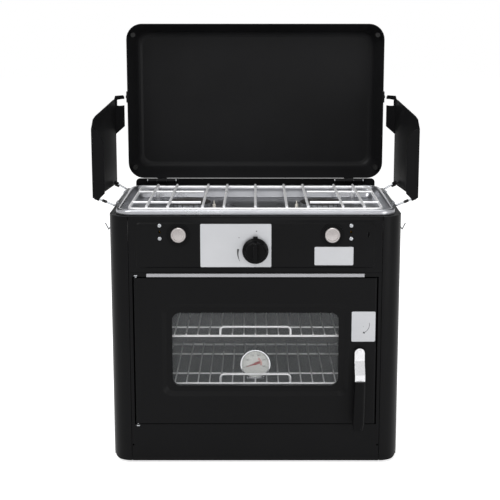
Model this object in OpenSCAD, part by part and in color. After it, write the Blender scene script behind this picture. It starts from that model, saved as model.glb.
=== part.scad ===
// Folding camp oven: a two-burner hob over a small gas oven, with a lid and two
// windscreens that fold away. Millimetres, +Z up, +X to the right, the door faces -Y.
// The origin is on the ground under the middle of the overall box.

/* [Body] */
// Width over the side panels
body_w = 520; // [515:1:525]
// Depth from the front panel to the back panel
body_d = 330; // [328:1:334]
// Height of the hob rim above the ground
rim_z = 467; // [465:1:470]
// Radius of the two front corners
corner_r = 36; // [30:1:40]
// Thickness of the sheet steel
sheet = 1.2; // [1:0.1:1.3]
// Height of the rubber feet
foot_h = 5; // [5:1:6]

/* [Hob] */
// Width of the stainless tray over its rolled rim
tray_w = 498; // [494:1:498]
// Depth of the tray over its rim, front to back
tray_d = 300; // [296:1:302]
// Depth of the tray from rim to floor
pan_depth = 23; // [22:1:25]
// Distance of each burner from the middle
burner_x = 125; // [120:1:128]
// Radius of the grate's long wires
grate_wire = 2.4; // [2:0.1:2.6]

/* [Lid] */
// Width of the lid at its rim
lid_w = 514; // [512:1:514]
// Length of the lid from its hinge edge to its front edge
lid_l = 309; // [306:1:310]
// Depth of the lid pan
lid_depth = 52; // [50:1:54]
// Gap between the closed lid and the hob rim
lid_gap = 6; // [6:1:7]

/* [Windscreens] */
// Height of a windscreen's rear corner above the rim
screen_h = 180; // [176:1:182]
// Length of a windscreen, front to back
screen_l = 240; // [232:1:242]
// Radius of the bail wire that carries a windscreen
bail_r = 1.8; // [1.7:0.1:1.8]

/* [Door] */
// Width of the oven door
door_w = 433; // [431:1:433]
// Height of the oven door
door_h = 270; // [268:1:270]
// Height of the door's middle above the ground
door_z = 211.5; // [211:0.5:212]
// Width of the window glass that shows
window_w = 298; // [294:1:300]
// Height of the window glass that shows
window_h = 136; // [132:1:138]

/* [Oven] */
// Width of the oven cavity
oven_w = 406; // [404:1:408]
// Depth of the oven cavity
oven_d = 268; // [264:1:270]
// Distance between the rack wires
rack_pitch = 21; // [21:1:24]

/* [Controls] */
// Radius of the oven knob's skirt
knob_r = 23; // [22:1:24]
// Height of the oven knob's axis
knob_z = 397; // [396:1:398]
// Distance of each igniter button from the middle
button_x = 135.5; // [134:0.5:137]
// Height of the igniter buttons
button_z = 424.4; // [424:0.1:425]

/* [Hidden] */
$fn = 48;

front = -173.5;
back = front + body_d;
side = body_w / 2;
deck_z = rim_z - 10;
seam_x = side - corner_r + 1;
face_x = seam_x - 0.8;
panel_bottom = rim_z - 110.8;
gap = 0.1;

tray_y = front + 8 + tray_d / 2;
tray_r = 30;
rim_w = 9;
bowl_w = tray_w - 2 * rim_w;
bowl_d = tray_d - 2 * rim_w;
bowl_slope = 8;
floor_z = rim_z - pan_depth;

hinge_y = back - 3;
hinge_z = rim_z + lid_gap;
hinge_x = 190;
hinge_l = 56;
knuckle_r = 4.4;
pin_r = 2;
run = 0.05;
lid_start = 5.2;

bail_x = tray_w / 2 + 3.5;
bail_z = rim_z - 1;
bail_y = 96;
screen_y = hinge_y - 30.5;
screen_rear_x = side + 18;
screen_front_x = side + 33;
screen_t = 1;

door_left = -door_w / 2;
door_bottom = door_z - door_h / 2;
door_top = door_z + door_h / 2;
door_front = front - 2;
door_back = front + 16;
door_pin_x = door_left + 4;
door_pin_y = front + 2.5;
pin_head_r = 4;
pin_head_h = 2;
open_x = door_w / 2 + 2;
open_z = door_h / 2 + 2;
recess_d = 22;
window_step = 8;
window_border = 11;
window_z = door_z + 2.5;
latch_x = 186.2;
latch_z = 211;

cavity_y = front + 24.5;
cavity_bottom = 96;
cavity_top = 325;
upper_rack_z = 231;
lower_rack_z = 141;
rack_w = 392;
rack_d = 250;
rack_y = cavity_y + 8;
dial_y = cavity_y + 22;
dial_z = lower_rack_z + 31.5;

inlet_y = 61;
inlet_z = knob_z;
manifold_y = front + 52;
inlet_r = 9.5;
valve_x = 168.6;
valve_z = 429.5;
oven_burner_z = 82;

// Flat outline helpers

module rounded_rect(w, h, r) {
  square([w - 2 * r, h], center = true);
  square([w, h - 2 * r], center = true);
  for (x = [-1, 1], y = [-1, 1]) translate([x * (w / 2 - r), y * (h / 2 - r)]) circle(r);
}

module rounded_ring(w, h, r, wall) {
  difference() {
    rounded_rect(w, h, r);
    rounded_rect(w - 2 * wall, h - 2 * wall, r - wall);
  }
}

module slot_outline(l, w) {
  square([l - w, w], center = true);
  for (x = [-1, 1]) translate([x * (l - w) / 2, 0]) circle(w / 2);
}

// The body seen from above, drawn in by an inset
module body_plan(inset) {
  r = corner_r - inset;
  translate([-side + inset, front + corner_r])
    square([body_w - 2 * inset, body_d - corner_r - inset]);
  translate([-side + corner_r, front + inset])
    square([body_w - 2 * corner_r, body_d - 2 * inset]);
  for (x = [-1, 1]) translate([x * (side - corner_r), front + corner_r]) circle(r);
}

// Places a flat outline on the front, drawn in X and Z, with its face at y and going back
module on_front(x, y, z, depth) {
  translate([x, y + depth, z]) rotate([90, 0, 0]) linear_extrude(depth) children();
}

// Solid helpers

module rod(p, q, r) {
  d = q - p;
  l = norm(d);
  translate(p) rotate([0, acos(d.z / l), atan2(d.y, d.x)]) cylinder(h = l, r = r);
}

function unit(v) = v / norm(v);

// A quarter or part bend of wire at corner b, on the way from a to c
module elbow(a, b, c, r, bend) {
  u = unit(b - a);
  v = unit(c - b);
  turn = acos(u * v);
  start = b - u * bend * tan(turn / 2);
  w = unit(cross(u, v));
  e = cross(u, w);
  centre = start - e * bend;
  multmatrix([[e.x, u.x, w.x, centre.x], [e.y, u.y, w.y, centre.y],
              [e.z, u.z, w.z, centre.z], [0, 0, 0, 1]])
    rotate_extrude(angle = turn) translate([bend, 0]) circle(r);
}

function turn_at(p, i) = acos(unit(p[i] - p[i - 1]) * unit(p[i + 1] - p[i]));
function trim_at(p, i, bend) = (i == 0 || i == len(p) - 1) ? 0 : bend * tan(turn_at(p, i) / 2);

// Wire along corner points, with every inner corner bent to one radius
module bent_wire(p, r, bend) {
  for (i = [0 : len(p) - 2]) {
    u = unit(p[i + 1] - p[i]);
    rod(p[i] + u * trim_at(p, i, bend), p[i + 1] - u * trim_at(p, i + 1, bend), r);
  }
  for (i = [1 : len(p) - 2]) elbow(p[i - 1], p[i], p[i + 1], r, bend);
}

// Thin wire along corner points, with a small bead at each corner
module jointed_wire(p, r) {
  for (i = [0 : len(p) - 2]) rod(p[i], p[i + 1], r);
  for (i = [1 : len(p) - 2]) translate(p[i]) sphere(r * 1.06);
}

// A flat wire frame with round corners
module wire_loop(w, d, r, bend) {
  x = w / 2;
  y = d / 2;
  for (s = [-1, 1]) {
    rod([-x + bend, s * y, 0], [x - bend, s * y, 0], r);
    rod([s * x, -y + bend, 0], [s * x, y - bend, 0], r);
  }
  for (i = [0 : 3]) rotate([0, 0, 90 * i]) {
    cx = (i % 2 == 0 ? x : y) - bend;
    cy = (i % 2 == 0 ? y : x) - bend;
    translate([cx, cy, 0]) rotate_extrude(angle = 90) translate([bend, 0]) circle(r);
  }
}

// A slot that stands upright
module upright_slot(w, h) {
  rotate(90) slot_outline(h, w);
}

// A drawn pan as a stack of rounded outlines, each [height, inset]
module drawn_form(w, d, r, steps, shrink) {
  hull() for (s = steps)
    translate([0, 0, s[0]]) linear_extrude(0.01)
      rounded_rect(w - 2 * (s[1] + shrink), d - 2 * (s[1] + shrink),
                   max(r - 0.4 * s[1] - shrink, 3), $fn = 32);
}

// Case

module side_panel() {
  difference() {
    translate([0, 0, foot_h]) linear_extrude(deck_z - foot_h) difference() {
      body_plan(0);
      body_plan(sheet);
      translate([-side - 1, front - 1]) square([side + 1 + seam_x, body_d + 2]);
      translate([seam_x - 1, back - corner_r]) square([side - sheet - seam_x + 1, corner_r + 1]);
    }
    lower_corner_cut();
    if ($children > 0) children();
  }
  translate([0, 0, foot_h + 15]) linear_extrude(deck_z - foot_h - 18) {
    translate([seam_x, front]) square([sheet, 14]);
    translate([side - sheet - 12, back - sheet - gap - sheet]) square([12.2, sheet]);
  }
}

// The panel's foot is rounded off at the front corner
module lower_corner_cut() {
  cut = 14;
  translate([side - cut, front - 1, foot_h - 1]) difference() {
    cube([cut + 1, corner_r + 1, cut + 1]);
    translate([0, -1, cut + 1]) rotate([-90, 0, 0]) cylinder(h = corner_r + 4, r = cut);
  }
}

module side_panel_left() {
  color([0.13, 0.13, 0.13]) mirror([1, 0, 0]) side_panel();
}

module side_panel_right() {
  color([0.13, 0.13, 0.13]) side_panel()
    rod([side - 5, inlet_y, inlet_z], [side + 5, inlet_y, inlet_z], 13);
}

module back_panel() {
  w = body_w - 2 * sheet - 2 * gap;
  color([0.13, 0.13, 0.13]) difference() {
    translate([-w / 2, back - sheet, foot_h + sheet]) cube([w, sheet, deck_z - foot_h - sheet]);
    for (i = [-4 : 4], row = [0, 1])
      on_front(i * 44, back - 5, 362 + row * 16, 10) slot_outline(32, 6);
    for (i = [-3 : 3]) on_front(i * 44, back - 5, 40, 10) slot_outline(32, 6);
  }
}

module base_pan() {
  inset = 2 * sheet + 2 * gap;
  color([0.18, 0.18, 0.18]) translate([0, 0, foot_h]) {
    difference() {
      linear_extrude(sheet) body_plan(inset);
      for (i = [-3 : 3]) translate([i * 50, tray_y, -1]) linear_extrude(4)
        rotate([0, 0, 90]) slot_outline(60, 8);
    }
    linear_extrude(12) difference() {
      body_plan(inset);
      body_plan(inset + sheet);
    }
  }
}

module feet() {
  color([0.05, 0.05, 0.05])
    for (x = [-1, 1], y = [front + 34, back - 34]) translate([x * 208.5, y, 0]) {
      cylinder(h = foot_h, r1 = 9, r2 = 10);
    }
}

module top_deck() {
  color([0.13, 0.13, 0.13]) translate([0, 0, deck_z - sheet]) linear_extrude(sheet)
    difference() {
      body_plan(sheet + gap);
      translate([0, tray_y]) rounded_rect(bowl_w - 2, bowl_d - 2, tray_r - rim_w);
    }
}

// Front plate round the door, with the walls of the door's recess
module front_frame() {
  h = panel_bottom - 0.4 - foot_h;
  color([0.13, 0.13, 0.13]) difference() {
    union() {
      on_front(0, front, foot_h + h / 2, sheet) square([2 * face_x, h], center = true);
      on_front(0, front, door_z, recess_d)
        square([2 * (open_x + sheet), 2 * (open_z + sheet)], center = true);
    }
    on_front(0, front - 1, door_z, recess_d + 2)
      square([2 * open_x, 2 * open_z], center = true);
    for (z = [-1, 1]) translate([door_pin_x, door_pin_y, door_z + z * (open_z + sheet / 2)])
      cylinder(h = 6, r = pin_r, center = true);
    for (z = [-1, 1]) translate([door_pin_x, front, door_z + z * (open_z + sheet + 1.3)])
      cube([2 * pin_head_r + 0.6, 4, 2.6], center = true);
    for (x = [-1, 1]) translate([x * (open_x + 3.2), front - 1, foot_h + 30])
      rotate([-90, 0, 0]) cylinder(h = 3, r = 1.6);
  }
}

// Top front plate with its raised field
module control_panel() {
  h = deck_z - panel_bottom;
  field_w = 424;
  field_h = 82;
  field_z = rim_z - 61.4;
  raise = 2;
  color([0.13, 0.13, 0.13]) difference() {
    union() {
      on_front(0, front, panel_bottom + h / 2, sheet) square([2 * face_x, h], center = true);
      translate([0, front, field_z]) rotate([90, 0, 0]) hull() {
        linear_extrude(0.01) rounded_rect(field_w, field_h, 9, $fn = 32);
        translate([0, 0, raise - 0.01]) linear_extrude(0.01)
          rounded_rect(field_w - 5, field_h - 5, 7, $fn = 32);
      }
      translate([-face_x, front, panel_bottom]) cube([2 * face_x, 16, sheet]);
    }
    translate([0, front + sheet + 0.01, field_z]) rotate([90, 0, 0]) hull() {
      linear_extrude(0.01) rounded_rect(field_w - 3, field_h - 3, 8, $fn = 32);
      translate([0, 0, raise]) linear_extrude(0.01)
        rounded_rect(field_w - 8, field_h - 8, 6, $fn = 32);
    }
    for (x = [-1, 1]) translate([x * button_x, front - 5, button_z])
      rotate([-90, 0, 0]) cylinder(h = 10, r = 18.5);
    translate([0, front - 5, knob_z]) rotate([-90, 0, 0]) cylinder(h = 10, r = 7);
    for (x = [-1, 1]) translate([x * valve_x, front - 5, valve_z])
      rotate([-90, 0, 0]) cylinder(h = 10, r = 2.2);
    on_front(199.5, front - 5, 424.8, 10) upright_slot(1.8, 9);
  }
}

// Bright strip over the door
module trim_strip() {
  color([0.62, 0.62, 0.63]) difference() {
    translate([-193, front - 4, door_top + 2.4]) cube([386, 4, 6]);
    translate([-194, front - 4 + sheet, door_top + 1]) cube([388, 2, 6.2]);
  }
}

module dome_screw(r) {
  intersection() {
    cylinder(h = 2, r = r);
    translate([0, 0, 2 - 2.4 * r]) sphere(2.4 * r);
  }
}

module case_screws() {
  color([0.75, 0.75, 0.76]) {
    for (x = [-1, 1], z = [441.1, 417.9]) translate([x * valve_x, front - 2, z])
      rotate([90, 0, 0]) dome_screw(3.5);
    for (x = [-1, 1], y = [-1, 1]) translate([x * 205, tray_y + y * 112, floor_z])
      dome_screw(3.5);
    for (x = [-1, 1], z = [60, 200, 340]) translate([x * 250, back, z])
      rotate([-90, 0, 0]) dome_screw(3.5);
  }
}

// Oven

module oven_liner() {
  w = 1;
  flange = 10;
  mid = (cavity_top + cavity_bottom) / 2;
  h = cavity_top - cavity_bottom;
  color([0.3, 0.3, 0.31]) difference() {
    union() {
      on_front(0, cavity_y - w, mid, oven_d + 2 * w)
        square([oven_w + 2 * w, h + 2 * w], center = true);
      on_front(0, cavity_y - w, door_z, w)
        square([oven_w + 2 * w + 2 * flange, 2 * open_z + 2 * sheet], center = true);
    }
    on_front(0, cavity_y - w - 1, mid, oven_d + w + 1) square([oven_w, h], center = true);
    for (i = [-3 : 3]) on_front(i * 50, cavity_y + oven_d - 5, cavity_top - 14, 15)
      slot_outline(36, 6);
  }
}

// Flame spreader that covers the burner
module oven_floor() {
  color([0.36, 0.36, 0.37]) difference() {
    union() {
      translate([-oven_w / 2 + 1, cavity_y + 4, cavity_bottom + 22])
        cube([oven_w - 2, oven_d - 8, sheet]);
      for (x = [-1, 1]) translate([x * (oven_w / 2 - 1.6) - 0.6, cavity_y + 4, cavity_bottom])
        cube([sheet, oven_d - 8, 23]);
    }
    for (x = [-1, 1], i = [-3 : 3])
      translate([x * 180, cavity_y + oven_d / 2 + i * 34, cavity_bottom + 20])
        linear_extrude(6) rotate([0, 0, 90]) slot_outline(24, 7);
  }
}

module rack_rails() {
  color([0.62, 0.62, 0.63])
    for (x = [-1, 1], z = [lower_rack_z, 186, upper_rack_z])
      translate([x * oven_w / 2, cavity_y + 10, z - 4.6]) mirror([x > 0 ? 1 : 0, 0, 0]) {
        cube([8, oven_d - 24, 1.5]);
        cube([1.5, oven_d - 24, 9]);
      }
}

// Wire rack: a frame, wires front to back and a raised pull at the front
module rack(z) {
  n = floor((rack_w / 2 - 12) / rack_pitch);
  wire = 1.3;
  rim = 2.2;
  pull = 64;
  color([0.8, 0.8, 0.81]) translate([0, rack_y + rack_d / 2, z]) {
    wire_loop(rack_w, rack_d, rim, 10);
    for (i = [-n : n])
      rod([i * rack_pitch, -rack_d / 2, 2.6], [i * rack_pitch, rack_d / 2, 2.6], wire);
    for (y = [-1, 1]) rod([-rack_w / 2, y * 62, -1.2], [rack_w / 2, y * 62, -1.2], 1.8);
    bent_wire([[-pull, -rack_d / 2 + 1, 0], [-pull, -rack_d / 2 + 1, 17],
               [pull, -rack_d / 2 + 1, 17], [pull, -rack_d / 2 + 1, 0]], 2, 7);
  }
}

module upper_rack() { rack(upper_rack_z); }

module lower_rack() { rack(lower_rack_z); }

// Dial thermometer on a foot that stands on the lower rack
module thermometer_case() {
  color([0.75, 0.75, 0.76]) translate([0, dial_y, dial_z]) {
    rotate([-90, 0, 0]) difference() {
      cylinder(h = 9, r = 27.5);
      translate([0, 0, -1]) cylinder(h = 8.5, r = 25.5);
    }
    difference() {
      translate([-16, 1, -27.6]) cube([32, 14, 1.5]);
      translate([0, 10, -30]) cylinder(h = 6, r = 3);
    }
    translate([-16, 9, -27.6]) cube([32, 1.5, 14]);
  }
}

module thermometer_dial() {
  color([0.93, 0.93, 0.92]) translate([0, dial_y + 6, dial_z]) rotate([-90, 0, 0])
    difference() {
      cylinder(h = 1.4, r = 25.4);
      translate([0, 0, -1]) cylinder(h = 4, r = 1.2);
    }
}

module thermometer_lens() {
  color([0.9, 0.95, 1, 0.3]) translate([0, dial_y + 0.6, dial_z]) rotate([-90, 0, 0])
    cylinder(h = 1.4, r = 25.4);
}

// Balanced pointer, set towards the cold end of the scale
module thermometer_pointer() {
  color([0.75, 0.08, 0.06]) translate([0, dial_y + 3.4, dial_z]) rotate([-90, 0, 0]) {
    cylinder(h = 1, r = 2.4);
    cylinder(h = 4, r = 1.1);
    rotate([0, 0, 160]) linear_extrude(1) polygon([[0, -1.4], [20, 0], [0, 1.4]]);
    rotate([0, 0, -20]) linear_extrude(1) polygon([[0, -2.2], [9, -2.2], [9, 2.2], [0, 2.2]]);
  }
}

module oven_burner() {
  z = oven_burner_z;
  y0 = cavity_y + 24;
  l = 212;
  color([0.7, 0.7, 0.7]) difference() {
    union() {
      rod([0, y0, z], [0, y0 + l, z], 9);
      for (y = [y0 + 20, y0 + l - 24]) translate([-16, y, foot_h + sheet])
        cube([32, 4, z - 6 - foot_h - sheet]);
    }
    rod([0, y0 - 1, z], [0, y0 + l - 4, z], 8);
    for (i = [0 : 17], s = [-1, 1]) translate([0, y0 + 16 + i * 10.5, z])
      rotate([0, s * 70, 0]) cylinder(h = 12, r = 1);
  }
}

module oven_gas_pipe() {
  x = -230;
  y = front + 42;
  z = knob_z - 12;
  color([0.72, 0.72, 0.72])
    bent_wire([[-12.2, y, z], [x, y, z], [x, y, 30], [0, y, 30], [0, y, oven_burner_z],
               [0, cavity_y + 23.6, oven_burner_z]], 3.2, 9);
}

// Supply tube with its valves
module gas_manifold() {
  color([0.7, 0.7, 0.7]) {
    difference() {
      bent_wire([[-186, manifold_y, inlet_z + 16], [214, manifold_y, inlet_z + 16],
                 [214, inlet_y, inlet_z + 16], [214, inlet_y, inlet_z],
                 [side - 20.2, inlet_y, inlet_z]], 7, 8);
      for (x = [-1, 1]) rod([x * valve_x, manifold_y - 12, inlet_z + 16],
                            [x * valve_x, manifold_y, inlet_z + 16], 4);
    }
  }
}

module valve_body(x, z, drop) {
  y0 = front + 12;
  translate([x, y0, z]) {
    rotate([-90, 0, 0]) cylinder(h = 20, r = 9);
    translate([-11, 14, -12 + drop]) cube([22, 18.8, 26]);
  }
}

module burner_valves() {
  color([0.72, 0.6, 0.3]) for (x = [-1, 1]) difference() {
    valve_body(x * valve_x, 424, -4);
    rod([x * valve_x, front, valve_z], [x * valve_x, front + 20, valve_z], 2);
  }
}

module oven_valve() {
  color([0.72, 0.6, 0.3]) difference() {
    valve_body(0, knob_z, 0);
    rod([0, front, knob_z], [0, front + 30, knob_z], 4 + run);
  }
}

module valve_stem() {
  color([0.72, 0.6, 0.3]) {
    rod([0, front - 14, knob_z], [0, front + 28, knob_z], 4);
  }
}

// Knob with a flared skirt, a grip bar and a pointer lug
module oven_knob() {
  y = front - 7.2;
  color([0.04, 0.04, 0.04]) translate([0, y, knob_z]) rotate([90, 0, 0]) difference() {
    union() {
      rotate_extrude($fn = 96) polygon([[0, 0], [knob_r, 0], [knob_r, 2.5], [18.5, 5],
                                        [17, 13], [15.5, 14.5], [0, 14.5]]);
      hull() for (s = [-1, 1]) translate([0, s * 13, 0]) {
        cylinder(h = 22.8, r = 4.4, $fn = 24);
        cylinder(h = 24.8, r = 3, $fn = 24);
      }
      translate([-4, knob_r - 3, 0]) cube([8, 6, 4]);
    }
    translate([0, 0, -1]) cylinder(h = 12.5, r = 4 + run);
  }
}

module label_plates() {
  t = 0.5;
  y = front - 2 - t;
  color([0.78, 0.78, 0.79]) {
    difference() {
      on_front(-34.5, y, 405.5, t) rounded_rect(125, 77.5, 2);
      rod([0, y - 1, knob_z], [0, y + 2, knob_z], 9);
    }
    on_front(138.6, y, 386.6, t) rounded_rect(68.6, 33, 2);
  }
}

// Black cup behind each button, with the piezo body in one piece
module igniter_bodies() {
  color([0.03, 0.03, 0.03]) for (x = [-1, 1])
    translate([x * button_x, front, button_z]) rotate([-90, 0, 0]) difference() {
      union() {
        translate([0, 0, -3]) cylinder(h = 14, r = 18.4);
        translate([0, 0, -3.8]) cylinder(h = 1.7, r = 20);
        cylinder(h = 34, r = 9);
      }
      translate([0, 0, -5]) cylinder(h = 14, r = 14.4);
      translate([0, 0, -5]) cylinder(h = 30, r = 4 + run);
    }
}

module igniter_button(x) {
  color([0.8, 0.8, 0.8]) translate([x, front, button_z]) rotate([90, 0, 0]) {
    rotate_extrude($fn = 96) polygon([[0, -1], [13.3, -1], [13.3, 6], [12.4, 7], [10.2, 7],
                                      [9.8, 5.8], [0, 6.4]]);
    translate([0, 0, -18]) cylinder(h = 18, r = 4);
  }
}

module igniter_button_left() { igniter_button(-button_x); }

module igniter_button_right() { igniter_button(button_x); }

module gas_inlet() {
  color([0.75, 0.6, 0.28]) difference() {
    union() {
      rod([side - 20, inlet_y, inlet_z], [side + 20, inlet_y, inlet_z], inlet_r);
      translate([side + 1.8, inlet_y, inlet_z]) rotate([0, 90, 0])
        cylinder(h = 5, r = 13.5, $fn = 6);
    }
    rod([side - 22, inlet_y, inlet_z], [side + 22, inlet_y, inlet_z], 5);
  }
}

module inlet_plate() {
  t = 1.6;
  color([0.7, 0.7, 0.71]) difference() {
    translate([side + t, inlet_y, inlet_z]) rotate([0, -90, 0])
      linear_extrude(t) rounded_rect(34, 56, 4);
    rod([side - 1, inlet_y, inlet_z], [side + 4, inlet_y, inlet_z], 12.5);
  }
}

// Hob

module hob_tray() {
  t = 1;
  steps = [[0, 0], [-0.3 * pan_depth, 0.24 * bowl_slope], [-pan_depth + 3, 0.75 * bowl_slope],
           [-pan_depth + 0.8, bowl_slope + 1], [-pan_depth, bowl_slope + 4]];
  color([0.66, 0.66, 0.67]) translate([0, tray_y, rim_z]) difference() {
    union() {
      translate([0, 0, -9.9]) linear_extrude(9.9) rounded_rect(tray_w, tray_d, tray_r);
      translate([0, 0, -t]) drawn_form(bowl_w, bowl_d, tray_r - rim_w, steps, -t);
    }
    translate([0, 0, -11]) linear_extrude(11 - t) difference() {
      rounded_rect(tray_w - 2 * t, tray_d - 2 * t, tray_r - t);
      rounded_rect(bowl_w + 2 * t, bowl_d + 2 * t, tray_r - rim_w + t);
    }
    drawn_form(bowl_w, bowl_d, tray_r - rim_w, steps, 0);
    translate([0, 0, -1]) linear_extrude(2) rounded_rect(bowl_w, bowl_d, tray_r - rim_w);
    for (x = [-1, 1]) translate([x * burner_x, 0, -pan_depth - 5]) cylinder(h = 10, r = 25);
  }
}

module burner_heads() {
  color([0.55, 0.55, 0.56]) for (x = [-1, 1]) translate([x * burner_x, tray_y, floor_z])
    difference() {
      rotate_extrude($fn = 96) polygon([[16, -16], [24.6, -16], [24.6, 0.1], [36, 0.1],
                                        [40, 3], [40, 13], [37, 13], [35, 5], [16, 3]]);
      for (i = [0 : 23]) rotate([0, 0, i * 15]) translate([34, -0.9, 8]) cube([8, 1.8, 6]);
      translate([0, 0, -8]) rotate([0, x * 90, 0]) translate([0, 0, 10]) cylinder(h = 20, r = 6);
    }
}

module burner_caps() {
  color([0.35, 0.35, 0.36]) for (x = [-1, 1]) translate([x * burner_x, tray_y, floor_z])
    rotate_extrude($fn = 96) polygon([[0, 13], [40.5, 13], [40.5, 14.2], [37, 15.4],
                                      [12, 16.4], [0, 15]]);
}

module venturi_tubes() {
  color([0.7, 0.7, 0.7]) for (x = [-1, 1]) {
    z = floor_z - 8;
    bent_wire([[x * valve_x, front + 62, z], [x * valve_x, tray_y, z],
               [x * (burner_x + 24.7), tray_y, z]], 7, 12);
  }
}

module spark_electrodes() {
  color([0.9, 0.9, 0.86]) for (x = [-1, 1]) translate([x * 78, tray_y, floor_z]) {
    cylinder(h = 9, r = 3);
    translate([0, 0, 9]) cylinder(h = 6, r = 1);
  }
}

// Chrome pan support in one piece
module pan_grate() {
  frame_w = 452;
  frame_d = 260;
  frame_r = 2.8;
  top = 5;
  wire_z = top - grate_wire;
  frame_z = wire_z - grate_wire - frame_r + 0.8;
  color([0.8, 0.8, 0.81]) translate([0, tray_y, rim_z]) {
    translate([0, 0, frame_z]) wire_loop(frame_w, frame_d, frame_r, 18);
    for (x = [0, -56, 56, -94, 94, -156, 156, -194, 194])
      rod([x, -frame_d / 2, wire_z], [x, frame_d / 2, wire_z], grate_wire);
    for (x = [-1, 1], y = [-1, 1])
      rod([x * 100, y * 62, wire_z - 3.4], [x * (frame_w / 2), y * 62, wire_z - 3.4], grate_wire);
    for (x = [-1, 1], y = [-1, 1])
      rod([x * 194, y * 119, 0.35 - pan_depth], [x * 194, y * 119, wire_z], 2);
  }
}

// Clips on the rim that hold the bail wires
module bail_clips() {
  color([0.55, 0.55, 0.56]) for (x = [-1, 1], y = [-1, 1])
    translate([x * bail_x, tray_y + y * 62, bail_z]) rotate([90, 0, 0]) difference() {
      union() {
        cylinder(h = 12, r = bail_r + 1.4, center = true);
        translate([x > 0 ? -3.45 : 0, -9, -6]) cube([3.45, 9, 12]);
      }
      cylinder(h = 14, r = bail_r + run, center = true);
    }
}

// Lid, built shut and face down, then stood up behind the hob

module as_open_lid() {
  translate([0, hinge_y, hinge_z]) rotate([-90, 0, 0]) children();
}

module lid_pan() {
  t = 1.1;
  steps = [[0, 0], [0.84 * lid_depth, 15], [0.92 * lid_depth, 18], [0.97 * lid_depth, 21.5],
           [lid_depth, 26]];
  color([0.1, 0.1, 0.1]) as_open_lid() translate([0, -lid_start - lid_l / 2, 0]) {
    difference() {
      drawn_form(lid_w, lid_l, 31, steps, 0);
      translate([0, 0, -t]) drawn_form(lid_w, lid_l, 31, steps, t);
      translate([0, 0, -1]) linear_extrude(1.05) rounded_rect(lid_w - 2 * t, lid_l - 2 * t, 30);
    }
  }
}

module hinge_barrel(a, b) {
  difference() {
    rod([a, 0, 0], [b, 0, 0], knuckle_r);
    rod([a - 1, 0, 0], [b + 1, 0, 0], pin_r + run);
  }
}

module lid_hinge_leaves() {
  slope = atan2(15, 0.84 * lid_depth);
  color([0.1, 0.1, 0.1]) for (x = [-1, 1]) translate([x * hinge_x, hinge_y, hinge_z]) {
    hinge_barrel(-9.6, 9.6);
    difference() {
      translate([-9.6, 1, 0]) rotate([slope, 0, 0]) translate([0, 1.2, 1.15]) cube([19.2, 26, 1.5]);
      rod([-12, 0, 0], [12, 0, 0], pin_r + 0.6);
    }
  }
}

module body_hinge_leaves() {
  color([0.1, 0.1, 0.1]) for (x = [-1, 1]) translate([x * hinge_x, hinge_y, hinge_z]) {
    difference() {
      union() {
        for (s = [-1, 1]) rod([s * 10, 0, 0], [s * hinge_l / 2, 0, 0], knuckle_r);
        for (s = [-1, 1]) translate([s * 19 - 9, 3, -40]) cube([18, 1.4, 40]);
        translate([-hinge_l / 2, 3, -44]) cube([hinge_l, 1.4, 34]);
      }
      rod([-hinge_l, 0, 0], [hinge_l, 0, 0], pin_r + run);
    }
  }
}

module lid_hinge_pins() {
  end = hinge_l / 2;
  head = 1.5;
  color([0.75, 0.75, 0.76]) for (x = [-1, 1]) translate([x * hinge_x, hinge_y, hinge_z]) {
    rod([-end - head, 0, 0], [end + head, 0, 0], pin_r);
    for (e = [-1, 1]) rod([e * (end + 0.05), 0, 0], [e * (end + head), 0, 0], 3.4);
  }
}

// Brackets on the lid's ends, beside the windscreens' rear tabs
module lid_brackets() {
  z0 = hinge_z + 158;
  color([0.12, 0.12, 0.12]) for (x = [-1, 1]) {
    wall = [lid_w / 2 + 0.1, 15 / (0.84 * lid_depth)];
    translate([0, hinge_y, z0]) linear_extrude(22)
      polygon([[x * (wall[0] - wall[1]), 1], [x * (lid_w / 2 + 2.2), 1],
               [x * (lid_w / 2 + 2.2), 16], [x * (wall[0] - 16 * wall[1]), 16]]);
    rod([x * (lid_w / 2 + 2.2), hinge_y + 8, z0 + 11], [x * (lid_w / 2 + 3.8), hinge_y + 8, z0 + 11], 3);
  }
}

module lid_bumpers() {
  color([0.03, 0.03, 0.03]) as_open_lid()
    for (x = [-1, 1], y = [-lid_start - 22, -lid_start - lid_l + 22])
      translate([x * (lid_w / 2 - 14), y, -lid_gap + 0.3]) difference() {
        cylinder(h = lid_gap + 8, r = 4.5);
        translate([0, 0, lid_gap + 6]) cylinder(h = 4, r = 2);
      }
}

// Windscreens

// A standing sheet from plan point p to plan point q, with its outline in length and height
module standing_sheet(p, q, t) {
  u = unit([q.x - p.x, q.y - p.y, 0]);
  multmatrix([[u.x, 0, u.y, p.x], [u.y, 0, -u.x, p.y], [0, 1, 0, rim_z], [0, 0, 0, 1]])
    linear_extrude(t) children();
}

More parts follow.
